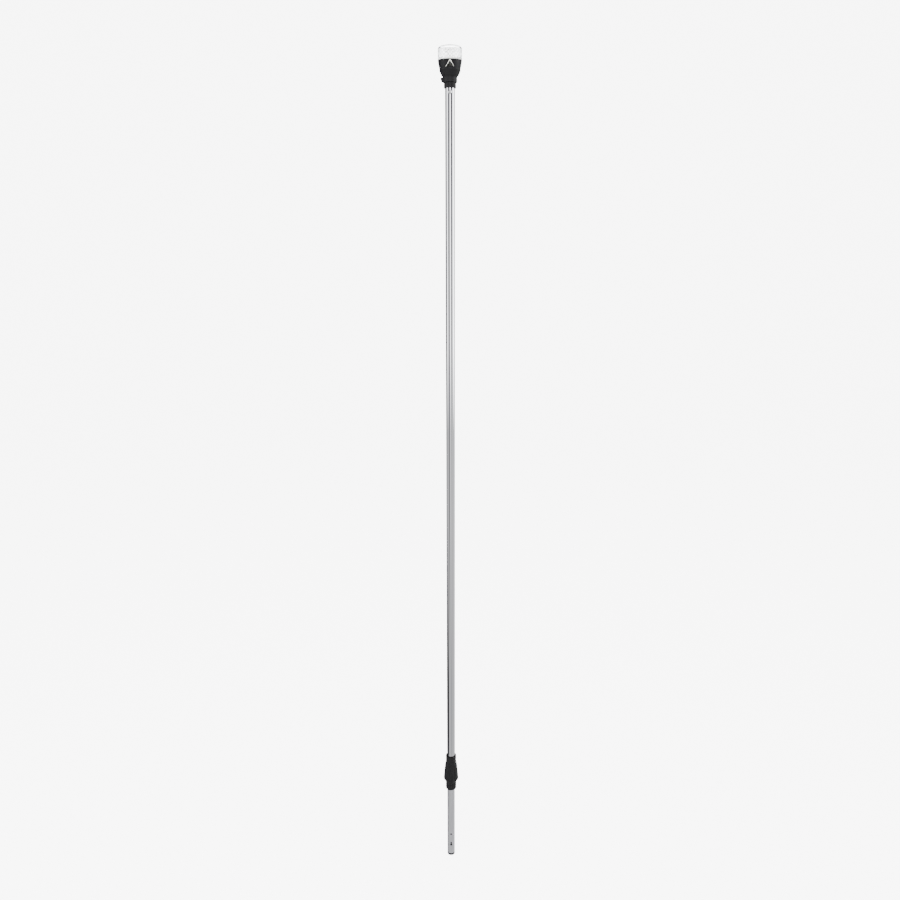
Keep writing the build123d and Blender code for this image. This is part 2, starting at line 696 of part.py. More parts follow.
with BuildPart() as sink_screws:
    with BuildSketch(Plane.XY.offset(SINK_SCREW_LOW_Z)):
        with PolarLocations(BOSS_RADIUS, 3, start_angle=THIRDS_START):
            Circle(SINK_SCREW_R)
    extrude(amount=LED_BOARD_TOP_Z - SINK_SCREW_LOW_Z)
    with BuildSketch(Plane.XY.offset(LED_BOARD_TOP_Z)):
        with PolarLocations(BOSS_RADIUS, 3, start_angle=THIRDS_START):
            Circle(SINK_SCREW_HEAD_R)
    extrude(amount=SINK_SCREW_HEAD_HEIGHT)
    fillet(faces().filter_by(Axis.Z).sort_by(Axis.Z)[-3:].edges(), radius=SINK_SCREW_ROUNDING)
    with BuildSketch(Plane.XY.offset(LED_BOARD_TOP_Z + SINK_SCREW_HEAD_HEIGHT)):
        with PolarLocations(BOSS_RADIUS, 3, start_angle=THIRDS_START):
            Rectangle(CROSS_LENGTH, CROSS_WIDTH)
            Rectangle(CROSS_WIDTH, CROSS_LENGTH)
    extrude(amount=-CROSS_DEPTH, mode=Mode.SUBTRACT)

with BuildPart() as driver_board:
    with BuildSketch(Plane.XY.offset(DRIVER_LOW_Z)):
        Circle(DRIVER_R)
    extrude(amount=BOARD_THICKNESS)

with BuildPart() as driver_components:
    with BuildSketch(Plane.XY.offset(DRIVER_TOP_Z)):
        with Locations((-4.0, 0.5)):
            Circle(CAPACITOR_R)
    extrude(amount=CAPACITOR_HEIGHT)
    with BuildSketch(Plane.XY.offset(DRIVER_TOP_Z)):
        with Locations((3.6, 1.5)):
            Circle(COIL_R)
    extrude(amount=COIL_HEIGHT)
    with BuildSketch(Plane.XY.offset(DRIVER_TOP_Z)):
        for chip_place, chip_size in zip(CHIP_PLACES, CHIP_SIZES):
            with Locations(chip_place):
                Rectangle(*chip_size)
    extrude(amount=CHIP_HEIGHT)

with BuildPart() as led_board:
    with BuildSketch(Plane.XY.offset(SINK_TOP_Z)):
        Circle(LED_BOARD_R)
        with PolarLocations(BOSS_RADIUS, 3, start_angle=THIRDS_START):
            Circle(SINK_SCREW_R, mode=Mode.SUBTRACT)
    extrude(amount=BOARD_THICKNESS)

with BuildPart() as led_emitters:
    with BuildSketch(Plane.XY.offset(LED_BOARD_TOP_Z)):
        with PolarLocations(LED_RADIUS, LED_COUNT):
            Rectangle(LED_SIZE, LED_SIZE)
    extrude(amount=LED_HEIGHT)
    with PolarLocations(LED_RADIUS, LED_COUNT):
        with Locations((0, 0, LED_BOARD_TOP_Z + LED_HEIGHT - 0.2)):
            Sphere(LED_DOME_R)

with BuildPart() as lens_gasket:
    with BuildSketch(Plane.XY.offset(RIM_TOP_Z)):
        Circle(GASKET_R)
        Circle(GASKET_BORE_R, mode=Mode.SUBTRACT)
    extrude(amount=GASKET_TOP_Z - RIM_TOP_Z)

with BuildPart() as lens:
    corner_z = TOTAL_LENGTH - LENS_CROWN_RISE - LENS_CORNER_R
    corner_low = LENS_CORNER_R * (1 - 0.5**0.5)
    crown_half = LENS_R - LENS_CORNER_R
    crown_sphere_r = (crown_half**2 + LENS_CROWN_RISE**2) / (2 * LENS_CROWN_RISE)
    with BuildSketch(Plane.XZ):
        with BuildLine():
            Polyline(
                (LENS_FOOT_BORE_R, GASKET_TOP_Z),
                (LENS_R, GASKET_TOP_Z),
                (LENS_R, corner_z),
            )
            ThreePointArc(
                (LENS_R, corner_z),
                (LENS_R - corner_low, corner_z + LENS_CORNER_R - corner_low),
                (LENS_R - LENS_CORNER_R, corner_z + LENS_CORNER_R),
            )
            RadiusArc(
                (LENS_R - LENS_CORNER_R, corner_z + LENS_CORNER_R),
                (0, TOTAL_LENGTH),
                -crown_sphere_r,
            )
            Polyline(
                (0, TOTAL_LENGTH),
                (0, LENS_CEILING_Z),
                (LENS_BORE_R - LENS_CORNER_R * 0.6, LENS_CEILING_Z),
                (LENS_BORE_R, LENS_CEILING_Z - LENS_CORNER_R * 0.6),
                (LENS_BORE_R, LENS_FOOT_TOP_Z),
                (LENS_FOOT_BORE_R, LENS_FOOT_TOP_Z - 0.4),
                (LENS_FOOT_BORE_R, GASKET_TOP_Z),
            )
        make_face()
    revolve(axis=Axis.Z)

with BuildPart() as reflector_cone:
    with BuildSketch(Plane.XZ):
        with BuildLine():
            Polyline(
                (0, CONE_TIP_Z),
                (CONE_TIP_R, CONE_TIP_Z),
                (CONE_TIP_R + 2.6, CONE_TIP_Z + 5.0),
                (CONE_TOP_R, LENS_CEILING_Z - 0.8),
                (CONE_TOP_R, LENS_CEILING_Z),
                (0, LENS_CEILING_Z),
                close=True,
            )
        make_face()
    revolve(axis=Axis.Z)

# ================================================================ task light electronics
with BuildPart() as task_board:
    with BuildSketch(Plane.XZ.offset(TASK_BOARD_Y)):
        with Locations((0, (TASK_BOARD_LOW_Z + LEDGE_Z) / 2)):
            Rectangle(TASK_BOARD_HALF_WIDTH * 2, LEDGE_Z - TASK_BOARD_LOW_Z)
    extrude(amount=TASK_BOARD_THICKNESS)

with BuildPart() as task_leds:
    with BuildSketch(Plane.XZ.offset(TASK_BOARD_Y + TASK_BOARD_THICKNESS)):
        with Locations((-TASK_LED_OFFSET, TASK_LED_Z), (TASK_LED_OFFSET, TASK_LED_Z)):
            Rectangle(TASK_LED_SIZE, TASK_LED_SIZE)
    extrude(amount=TASK_LED_HEIGHT)

with BuildPart() as task_lead:
    with BuildLine() as task_lead_path:
        FilletPolyline(
            (0, -TASK_LEAD_Y, DRIVER_TOP_Z),
            (0, -TASK_LEAD_Y, TASK_LEAD_Z),
            (0, -TASK_BOARD_Y, TASK_LEAD_Z),
            radius=TASK_LEAD_BEND,
        )
    with BuildSketch(Plane.XY.offset(DRIVER_TOP_Z)):
        with Locations((0, -TASK_LEAD_Y)):
            Circle(LEAD_R)
    sweep(path=task_lead_path.wires()[0])

# ================================================================ task light switch
with BuildPart() as switch_board:
    with BuildSketch(Plane.YZ.offset(-SWITCH_BACK_X)):
        with Locations((0, (SPIGOT_FLANGE_TOP_Z + SWITCH_BOARD_TOP_Z) / 2)):
            Rectangle(SWITCH_BOARD_HALF_WIDTH * 2, SWITCH_BOARD_TOP_Z - SPIGOT_FLANGE_TOP_Z)
    extrude(amount=SWITCH_BACK_X - SWITCH_BOARD_X)

with BuildPart() as switch_body:
    with BuildSketch(Plane.YZ.offset(-SWITCH_FRONT_X)):
        with Locations((0, BUTTON_Z)):
            Rectangle(SWITCH_HALF * 2, SWITCH_HALF * 2)
    extrude(amount=SWITCH_FRONT_X - SWITCH_BACK_X)
    with BuildSketch(Plane.YZ.offset(-SWITCH_FRONT_X)):
        with Locations((0, BUTTON_Z)):
            Circle(PLUNGER_BORE_R)
    plunger_bore_depth = SWITCH_FRONT_X - PLUNGER_END_X + BUTTON_TRAVEL + PLUNGER_END_GAP
    extrude(amount=plunger_bore_depth, mode=Mode.SUBTRACT)

with BuildPart() as switch_lead:
    with BuildSketch(Plane.XY.offset(SWITCH_BOARD_TOP_Z)):
        with Locations((-(SWITCH_BACK_X + SWITCH_BOARD_X) / 2, 0)):
            Circle(LEAD_R)
    extrude(amount=DRIVER_LOW_Z - SWITCH_BOARD_TOP_Z)

with BuildPart() as switch_plunger:
    with BuildSketch(Plane.YZ.offset(-BUTTON_STEM_X)):
        with Locations((0, BUTTON_Z)):
            Circle(PLUNGER_R)
    extrude(amount=BUTTON_STEM_X - PLUNGER_END_X)

with BuildPart() as task_button:
    with BuildSketch(Plane.XZ):
        with BuildLine():
            Polyline(
                (-BUTTON_FLANGE_X, BUTTON_Z - BUTTON_HALF_HEIGHT),
                (-BUTTON_REACH_LOW, BUTTON_Z - BUTTON_HALF_HEIGHT),
                (-BUTTON_REACH_TOP, BUTTON_Z + BUTTON_HALF_HEIGHT * 0.4),
                (-BUTTON_REACH_TOP, BUTTON_Z + BUTTON_HALF_HEIGHT),
                (-BUTTON_FLANGE_X, BUTTON_Z + BUTTON_HALF_HEIGHT),
                close=True,
            )
        make_face()
    extrude(amount=BUTTON_HALF_WIDTH, both=True)
    cap_edges = edges().filter_by_position(Axis.X, -BUTTON_REACH_TOP, -BUTTON_REACH_LOW + 0.01)
    fillet(cap_edges, radius=BUTTON_ROUNDING)
    with BuildSketch(Plane.YZ.offset(-BUTTON_FLANGE_X)):
        with Locations((0, BUTTON_Z)):
            Rectangle(BUTTON_FLANGE_HALF_WIDTH * 2, BUTTON_HALF_HEIGHT * 2)
    extrude(amount=BUTTON_FLANGE_X - BUTTON_STEM_X)

# ================================================================ labels and files
pieces = {
    "mast_tube": mast_tube,
    "plug_tube": plug_tube,
    "plug_body": plug_body,
    "plug_seal": plug_seal,
    "contact_positive": contact_positive,
    "contact_negative": contact_negative,
    "wire_positive": wire_positive,
    "wire_negative": wire_negative,
    "stop_ring": stop_ring,
    "joint_pin": joint_pin,
    "collar_bush": collar_bush,
    "collar_friction_ring": collar_friction_ring,
    "collar_skirt": collar_skirt,
    "collar_seal": collar_seal,
    "collar_grip": collar_grip,
    "head_body": head_body,
    "sleeve_ring": sleeve_ring,
    "mast_spigot": mast_spigot,
    "mast_rivet": mast_rivet,
    "sleeve_screw": sleeve_screw,
    "heat_sink": heat_sink,
    "sink_screws": sink_screws,
    "driver_board": driver_board,
    "driver_components": driver_components,
    "led_board": led_board,
    "led_emitters": led_emitters,
    "lens_gasket": lens_gasket,
    "lens": lens,
    "reflector_cone": reflector_cone,
    "task_bezel": task_bezel,
    "task_window": task_window,
    "task_board": task_board,
    "task_leds": task_leds,
    "task_lead": task_lead,
    "switch_board": switch_board,
    "switch_body": switch_body,
    "switch_lead": switch_lead,
    "switch_plunger": switch_plunger,
    "task_button": task_button,
}
for piece_name, piece in pieces.items():
    piece.part.label = piece_name
    export_step(piece.part, f"parts/{piece_name}.step")
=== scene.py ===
import json
import math

import bmesh
import bpy
from mathutils import Matrix, Vector


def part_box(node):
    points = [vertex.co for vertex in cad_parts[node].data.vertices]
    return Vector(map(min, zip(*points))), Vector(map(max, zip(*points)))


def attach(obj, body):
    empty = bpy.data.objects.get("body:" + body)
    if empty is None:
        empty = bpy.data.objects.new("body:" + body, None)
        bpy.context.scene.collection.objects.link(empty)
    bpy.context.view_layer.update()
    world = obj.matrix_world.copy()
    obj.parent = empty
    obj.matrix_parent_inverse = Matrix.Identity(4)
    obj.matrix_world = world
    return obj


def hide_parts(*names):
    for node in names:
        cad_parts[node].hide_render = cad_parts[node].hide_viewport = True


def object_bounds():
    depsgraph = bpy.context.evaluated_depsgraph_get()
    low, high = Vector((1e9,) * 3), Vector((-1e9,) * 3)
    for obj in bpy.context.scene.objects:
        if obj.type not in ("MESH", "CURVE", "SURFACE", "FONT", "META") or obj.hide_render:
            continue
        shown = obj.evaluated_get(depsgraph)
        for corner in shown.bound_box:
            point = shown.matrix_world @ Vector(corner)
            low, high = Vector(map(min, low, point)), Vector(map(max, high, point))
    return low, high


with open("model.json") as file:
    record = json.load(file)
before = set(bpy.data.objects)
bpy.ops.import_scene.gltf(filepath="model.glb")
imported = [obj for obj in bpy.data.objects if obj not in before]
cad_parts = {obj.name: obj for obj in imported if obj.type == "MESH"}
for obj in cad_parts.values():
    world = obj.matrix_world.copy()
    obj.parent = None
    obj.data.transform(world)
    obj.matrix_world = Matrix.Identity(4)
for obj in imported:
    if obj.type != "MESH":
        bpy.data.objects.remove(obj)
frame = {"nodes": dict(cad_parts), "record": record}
cad_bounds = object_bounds()

MM = 0.001
nodes = frame["nodes"]
POLE_HEIGHT = cad_bounds[1][2]

# ---------------------------------------------------------------- places read from the frame
lens_low, lens_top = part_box("lens")
cone_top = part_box("reflector_cone")[1]
emitters_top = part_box("led_emitters")[1]
board_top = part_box("led_board")[1]


# ================================================================ camera and studio
CAMERA_DISTANCE = 1.421
CAMERA_HEIGHT = 1.2495
CAMERA_SIDE = -0.001
CAMERA_TILT = 15.25
CAMERA_ROLL = -0.102
CAMERA_LENS = 32.89
SENSOR_WIDTH = 36.0


def make_camera():
    """Camera a little below the head's height, in front of the task light, tilted down the pole."""
    data = bpy.data.cameras.new("camera")
    data.sensor_width = SENSOR_WIDTH
    data.lens = CAMERA_LENS
    data.clip_start = 0.01
    camera = bpy.data.objects.new("camera", data)
    camera.location = (CAMERA_SIDE, -CAMERA_DISTANCE, CAMERA_HEIGHT)
    tilt = Matrix.Rotation(math.radians(90 - CAMERA_TILT), 3, "X")
    roll = Matrix.Rotation(math.radians(CAMERA_ROLL), 3, "Z")
    camera.rotation_euler = (tilt @ roll).to_euler()
    bpy.context.scene.collection.objects.link(camera)
    bpy.context.scene.camera = camera


def make_area_light(name, location, target, size, power):
    """Soft box that lights the parts, but isn't itself seen as a patch in their gloss."""
    data = bpy.data.lights.new(name, "AREA")
    data.shape = "RECTANGLE"
    data.size, data.size_y = size
    data.energy = power
    light = bpy.data.objects.new(name, data)
    light.location = location
    aim = Vector(target) - Vector(location)
    light.rotation_euler = aim.to_track_quat("-Z", "Y").to_euler()
    light.visible_glossy = False
    bpy.context.scene.collection.objects.link(light)


def make_lights():
    """Two tall soft boxes beside the pole, one soft box over it and one on the lamp."""
    middle = (0, 0, POLE_HEIGHT * 0.55)
    make_area_light("left_softbox", (-1.9, -1.5, 1.5), middle, (0.9, 2.2), 34)
    make_area_light("right_softbox", (2.2, -1.0, 1.6), middle, (0.9, 2.2), 26)
    make_area_light("top_softbox", (0, 0.2, 3.2), middle, (1.6, 1.6), 26)
    make_area_light("lamp_softbox", (-0.5, -1.3, 2.3), lens_low, (0.7, 0.7), 30)


STAGE_WIDTH = 14.0
STAGE_FRONT = -7.0
STAGE_BACK = 5.0
STAGE_SWEEP = 1.6
STAGE_HEIGHT = 6.0
SWEEP_STEPS = 16


def make_stage(material):
    """Pale floor that sweeps up into a backdrop behind the pole."""
    profile = [(STAGE_FRONT, 0.0), (STAGE_BACK - STAGE_SWEEP, 0.0)]
    for step in range(1, SWEEP_STEPS + 1):
        turn = math.radians(90) * step / SWEEP_STEPS
        profile.append((
            STAGE_BACK - STAGE_SWEEP + STAGE_SWEEP * math.sin(turn),
            STAGE_SWEEP * (1 - math.cos(turn)),
        ))
    profile.append((STAGE_BACK, STAGE_HEIGHT))
    mesh = bpy.data.meshes.new("floor")
    builder = bmesh.new()
    rows = []
    for depth, height in profile:
        rows.append([builder.verts.new((side * STAGE_WIDTH / 2, depth, height)) for side in (-1, 1)])
    for low, high in zip(rows, rows[1:]):
        builder.faces.new((low[0], low[1], high[1], high[0]))
    builder.to_mesh(mesh)
    builder.free()
    for face in mesh.polygons:
        face.use_smooth = True
    floor = bpy.data.objects.new("floor", mesh)
    floor.visible_glossy = False
    mesh.materials.append(material)
    bpy.context.scene.collection.objects.link(floor)


# ================================================================ node helpers
def add_node(tree, kind, **settings):
    """New node in a tree, with its settings and, by name, its unlinked inputs."""
    node = tree.nodes.new(kind)
    for key, value in settings.items():
        if key == "inputs":
            for label, amount in value.items():
                node.inputs[label].default_value = amount
        else:
            setattr(node, key, value)
    return node


def join(tree, source, target):
    tree.links.new(source, target)


def sums(tree, operation, *values, clamp=False):
    """Result of one math node on sockets or plain numbers."""
    node = add_node(tree, "ShaderNodeMath", operation=operation, use_clamp=clamp)
    for index, value in enumerate(values):
        if isinstance(value, bpy.types.NodeSocket):
            join(tree, value, node.inputs[index])
        else:
            node.inputs[index].default_value = value
    return node.outputs[0]


def new_shader_group(name, inputs, outputs):
    """Empty shader node group with named inputs and outputs, and its two end nodes."""
    group = bpy.data.node_groups.new(name, "ShaderNodeTree")
    for label, kind, amount in inputs:
        socket = group.interface.new_socket(name=label, in_out="INPUT", socket_type=kind)
        socket.default_value = amount
    for label, kind in outputs:
        group.interface.new_socket(name=label, in_out="OUTPUT", socket_type=kind)
    return group, group.nodes.new("NodeGroupInput"), group.nodes.new("NodeGroupOutput")


def stretched_position(tree, stretch, scale_socket):
    """Object position, stretched per axis and scaled by a group input."""
    place = add_node(tree, "ShaderNodeTexCoord")
    stretch_node = add_node(tree, "ShaderNodeVectorMath", operation="MULTIPLY")
    stretch_node.inputs[1].default_value = stretch
    join(tree, place.outputs["Object"], stretch_node.inputs[0])
    scale_node = add_node(tree, "ShaderNodeVectorMath", operation="SCALE")
    join(tree, stretch_node.outputs[0], scale_node.inputs[0])
    join(tree, scale_socket, scale_node.inputs["Scale"])
    return scale_node.outputs[0]


def value_range(tree, source, low, high, to_low, to_high):
    node = add_node(tree, "ShaderNodeMapRange")
    node.inputs["From Min"].default_value = low
    node.inputs["From Max"].default_value = high
    node.inputs["To Min"].default_value = to_low
    node.inputs["To Max"].default_value = to_high
    join(tree, source, node.inputs["Value"])
    return node.outputs["Result"]


# ================================================================ shared surface effects
FINE_GRAIN_SHARE = 0.6
DUST_COLOUR = (0.42, 0.41, 0.39)


def make_moulded_grain():
    """Fine pebble of a spark-eroded mould: height for bump, and a mask of its high spots."""
    group, start, end = new_shader_group(
        "moulded_grain",
        [("Grain Scale", "NodeSocketFloat", 2600.0)],
        [("Height", "NodeSocketFloat"), ("High Spots", "NodeSocketFloat")],
    )
    place = stretched_position(group, (1, 1, 1), start.outputs["Grain Scale"])
    pebble = add_node(
        group, "ShaderNodeTexVoronoi", feature="SMOOTH_F1", inputs={"Scale": 1.0, "Smoothness": 0.6}
    )
    join(group, place, pebble.inputs["Vector"])
    fine = add_node(group, "ShaderNodeTexNoise", inputs={"Scale": 0.6, "Detail": 4.0, "Roughness": 0.6})
    join(group, place, fine.inputs["Vector"])
    height = sums(group, "MULTIPLY_ADD", fine.outputs[0], FINE_GRAIN_SHARE, pebble.outputs["Distance"])
    join(group, height, end.inputs["Height"])
    join(group, value_range(group, height, 0.35, 1.1, 0, 1), end.inputs["High Spots"])
    return group


def make_draw_lines():
    """Fine lines that run up a drawn or extruded tube: height for bump, and a streak mask."""
    group, start, end = new_shader_group(
        "draw_lines",
        [("Line Scale", "NodeSocketFloat", 1800.0)],
        [("Height", "NodeSocketFloat"), ("Streaks", "NodeSocketFloat")],
    )
    place = stretched_position(group, (1, 1, 0.012), start.outputs["Line Scale"])
    lines = add_node(group, "ShaderNodeTexNoise", inputs={"Scale": 1.0, "Detail": 5.0, "Roughness": 0.65})
    join(group, place, lines.inputs["Vector"])
    join(group, lines.outputs[0], end.inputs["Height"])
    join(group, value_range(group, lines.outputs[0], 0.35, 0.65, 0, 1), end.inputs["Streaks"])
    return group


def make_handling_marks():
    """Soft smudges and a few fine scuffs left by hands, as two masks."""
    group, start, end = new_shader_group(
        "handling_marks",
        [("Mark Scale", "NodeSocketFloat", 45.0)],
        [("Smudge", "NodeSocketFloat"), ("Scuff", "NodeSocketFloat")],
    )
    place = stretched_position(group, (1, 1, 0.35), start.outputs["Mark Scale"])
    cloud = add_node(group, "ShaderNodeTexNoise", inputs={"Scale": 1.0, "Detail": 3.0, "Distortion": 0.6})
    join(group, place, cloud.inputs["Vector"])
    join(group, value_range(group, cloud.outputs[0], 0.45, 0.72, 0, 1), end.inputs["Smudge"])
    scuff_place = stretched_position(group, (1, 1, 0.15), start.outputs["Mark Scale"])
    scuff = add_node(group, "ShaderNodeTexNoise", inputs={"Scale": 9.0, "Detail": 6.0, "Roughness": 0.75})
    join(group, scuff_place, scuff.inputs["Vector"])
    join(group, value_range(group, scuff.outputs[0], 0.62, 0.74, 0, 1), end.inputs["Scuff"])
    return group


def make_settled_dust():
    """Pale dust on faces that look up, broken up by noise."""
    group, start, end = new_shader_group(
        "settled_dust",
        [("Dust Scale", "NodeSocketFloat", 300.0), ("Amount", "NodeSocketFloat", 0.3)],
        [("Dust", "NodeSocketFloat")],
    )
    surface = add_node(group, "ShaderNodeNewGeometry")
    parts = add_node(group, "ShaderNodeSeparateXYZ")
    join(group, surface.outputs["Normal"], parts.inputs[0])
    upward = value_range(group, parts.outputs["Z"], 0.25, 1.0, 0, 1)
    place = stretched_position(group, (1, 1, 1), start.outputs["Dust Scale"])
    speckle = add_node(group, "ShaderNodeTexNoise", inputs={"Scale": 1.0, "Detail": 6.0, "Roughness": 0.7})
    join(group, place, speckle.inputs["Vector"])
    broken = value_range(group, speckle.outputs[0], 0.35, 0.75, 0.1, 1)
    dust = sums(group, "MULTIPLY", sums(group, "MULTIPLY", upward, broken), start.outputs["Amount"])
    join(group, dust, end.inputs["Dust"])
    return group


MOULDED_GRAIN = make_moulded_grain()
DRAW_LINES = make_draw_lines()
HANDLING_MARKS = make_handling_marks()
SETTLED_DUST = make_settled_dust()


# ================================================================ material helpers
def new_material(name, **constants):
    """Material with a Principled shader, whose constants are set on the shader itself."""
    material = bpy.data.materials.new(name)
    material.use_nodes = True
    tree = material.node_tree
    shader = tree.nodes["Principled BSDF"]
    for label, amount in constants.items():
        shader.inputs[label.replace("_", " ")].default_value = amount
    return material, tree, shader


def place_group(tree, group, **inputs):
    node = tree.nodes.new("ShaderNodeGroup")
    node.node_tree = group
    for label, amount in inputs.items():
        node.inputs[label.replace("_", " ")].default_value = amount
    return node


def blend_colours(tree, mask, first, second):
    """Colour that goes from first to second as the mask goes from 0 to 1."""
    mix = add_node(tree, "ShaderNodeMix", data_type="RGBA")
    join(tree, mask, mix.inputs["Factor"])
    for socket, colour in ((mix.inputs[6], first), (mix.inputs[7], second)):
        if isinstance(colour, bpy.types.NodeSocket):
            join(tree, colour, socket)
        else:
            socket.default_value = (*colour, 1)
    return mix.outputs[2]


def add_bump(tree, shader, height, depth):
    """Bump of a given real depth, in metres, on the shader's normal."""
    bump = add_node(tree, "ShaderNodeBump", inputs={"Strength": 1.0, "Distance": depth})
    join(tree, height, bump.inputs["Height"])
    join(tree, bump.outputs[0], shader.inputs["Normal"])


# ================================================================ finishes
def moulded_plastic(name, colour, worn, roughness, gloss=0.5, grain_depth=0.00002, dust=0.25):
    """Textured moulding: pebbled, a little duller and paler on its high spots, with a trace of dust."""
    material, tree, shader = new_material(name, Specular_IOR_Level=gloss)
    grain = place_group(tree, MOULDED_GRAIN, Grain_Scale=2600.0)
    marks = place_group(tree, HANDLING_MARKS, Mark_Scale=60.0)
    dusting = place_group(tree, SETTLED_DUST, Dust_Scale=420.0, Amount=dust)
    tone = blend_colours(tree, grain.outputs["High Spots"], colour, worn)
    dusted = blend_colours(tree, dusting.outputs["Dust"], tone, DUST_COLOUR)
    join(tree, dusted, shader.inputs["Base Color"])
    rough = value_range(tree, marks.outputs["Smudge"], 0, 1, roughness, roughness * 0.78)
    join(tree, rough, shader.inputs["Roughness"])
    add_bump(tree, shader, grain.outputs["Height"], grain_depth)
    return material


def drawn_metal(name, colour, streak, rough_low, rough_high, line_scale, line_depth):
    """Metal drawn lengthwise: faint lines along it, and smudges that blur its gloss."""
    material, tree, shader = new_material(name, Metallic=1.0)
    lines = place_group(tree, DRAW_LINES, Line_Scale=line_scale)
    marks = place_group(tree, HANDLING_MARKS, Mark_Scale=38.0)
    tone = blend_colours(tree, lines.outputs["Streaks"], colour, streak)
    join(tree, tone, shader.inputs["Base Color"])
    worn = sums(tree, "MAXIMUM", marks.outputs["Smudge"], marks.outputs["Scuff"])
    join(tree, value_range(tree, worn, 0, 1, rough_low, rough_high), shader.inputs["Roughness"])
    add_bump(tree, shader, lines.outputs["Height"], line_depth)
    return material


def turned_metal(name, colour, tarnish, roughness, grain_scale=3200.0):
    """Small turned or cast metal part: fine grain and a little tarnish in patches."""
    material, tree, shader = new_material(name, Metallic=1.0)
    grain = place_group(tree, MOULDED_GRAIN, Grain_Scale=grain_scale)
    marks = place_group(tree, HANDLING_MARKS, Mark_Scale=320.0)
    tone = blend_colours(tree, marks.outputs["Smudge"], colour, tarnish)
    join(tree, tone, shader.inputs["Base Color"])
    rough = value_range(tree, grain.outputs["High Spots"], 0, 1, roughness, roughness * 1.5)
    join(tree, rough, shader.inputs["Roughness"])
    add_bump(tree, shader, grain.outputs["Height"], 0.000004)
    return material


def clear_moulding(name, colour, edge_shade_colour, roughness, index):
    """Clear plastic with the slight haze of a moulding, and painted shade that darkens its colour where the
    surface is seen edge-on.
    """
    material, tree, shader = new_material(name, Metallic=0.0, Transmission_Weight=1.0, IOR=index)
    marks = place_group(tree, HANDLING_MARKS, Mark_Scale=90.0)
    haze = blend_colours(tree, marks.outputs["Smudge"], colour, tuple(c * 0.97 for c in colour))
    # Painted shade: the colour goes to the edge shade colour as the surface turns edge-on to the view.
    slant = add_node(tree, "ShaderNodeLayerWeight", inputs={"Blend": 0.5})
    painted_edge_shade = value_range(tree, slant.outputs["Facing"], 0.2, 0.7, 0.0, 1.0)
    join(tree, blend_colours(tree, painted_edge_shade, haze, edge_shade_colour), shader.inputs["Base Color"])
    rough = value_range(tree, marks.outputs["Smudge"], 0, 1, roughness, roughness + 0.05)
    join(tree, rough, shader.inputs["Roughness"])
    add_bump(tree, shader, marks.outputs["Smudge"], 0.00002)
    return material


def circuit_board(name, mask_colour, trace_colour):
    """Solder mask over copper: faint traces show as slightly raised lines."""
    material, tree, shader = new_material(name, Coat_Weight=0.4)
    place = add_node(tree, "ShaderNodeTexCoord")
    bricks = add_node(
        tree, "ShaderNodeTexBrick", offset=0.35, inputs={"Scale": 260.0, "Mortar Size": 0.035}
    )
    join(tree, place.outputs["Object"], bricks.inputs["Vector"])
    tone = blend_colours(tree, bricks.outputs["Fac"], mask_colour, trace_colour)
    join(tree, tone, shader.inputs["Base Color"])
    marks = place_group(tree, HANDLING_MARKS, Mark_Scale=200.0)
    join(tree, value_range(tree, marks.outputs["Smudge"], 0, 1, 0.32, 0.45), shader.inputs["Roughness"])
    add_bump(tree, shader, bricks.outputs["Fac"], 0.00003)
    return material


BACKDROP_BRIGHTNESS = 6.5


def lit_backdrop(tree):
    """Masks for rays straight from the camera or through clear plastic, and for gloss."""
    path = add_node(tree, "ShaderNodeLightPath")
    seen = sums(tree, "MAXIMUM", path.outputs["Is Camera Ray"], path.outputs["Is Transmission Ray"])
    return seen, path.outputs["Is Glossy Ray"]


def stage_paper():
    """Matt white paper of the floor and backdrop, which glows only where it is looked at directly."""
    material, tree, shader = new_material("stage_paper", Specular_IOR_Level=0.0, Roughness=1.0)
    marks = place_group(tree, HANDLING_MARKS, Mark_Scale=3.0)
    tone = blend_colours(tree, marks.outputs["Smudge"], (0.93, 0.93, 0.93), (0.92, 0.92, 0.925))
    join(tree, tone, shader.inputs["Base Color"])
    shader.inputs["Emission Color"].default_value = (1, 1, 1, 1)
    glow = value_range(tree, lit_backdrop(tree)[0], 0, 1, 0, BACKDROP_BRIGHTNESS)
    join(tree, glow, shader.inputs["Emission Strength"])
    return material


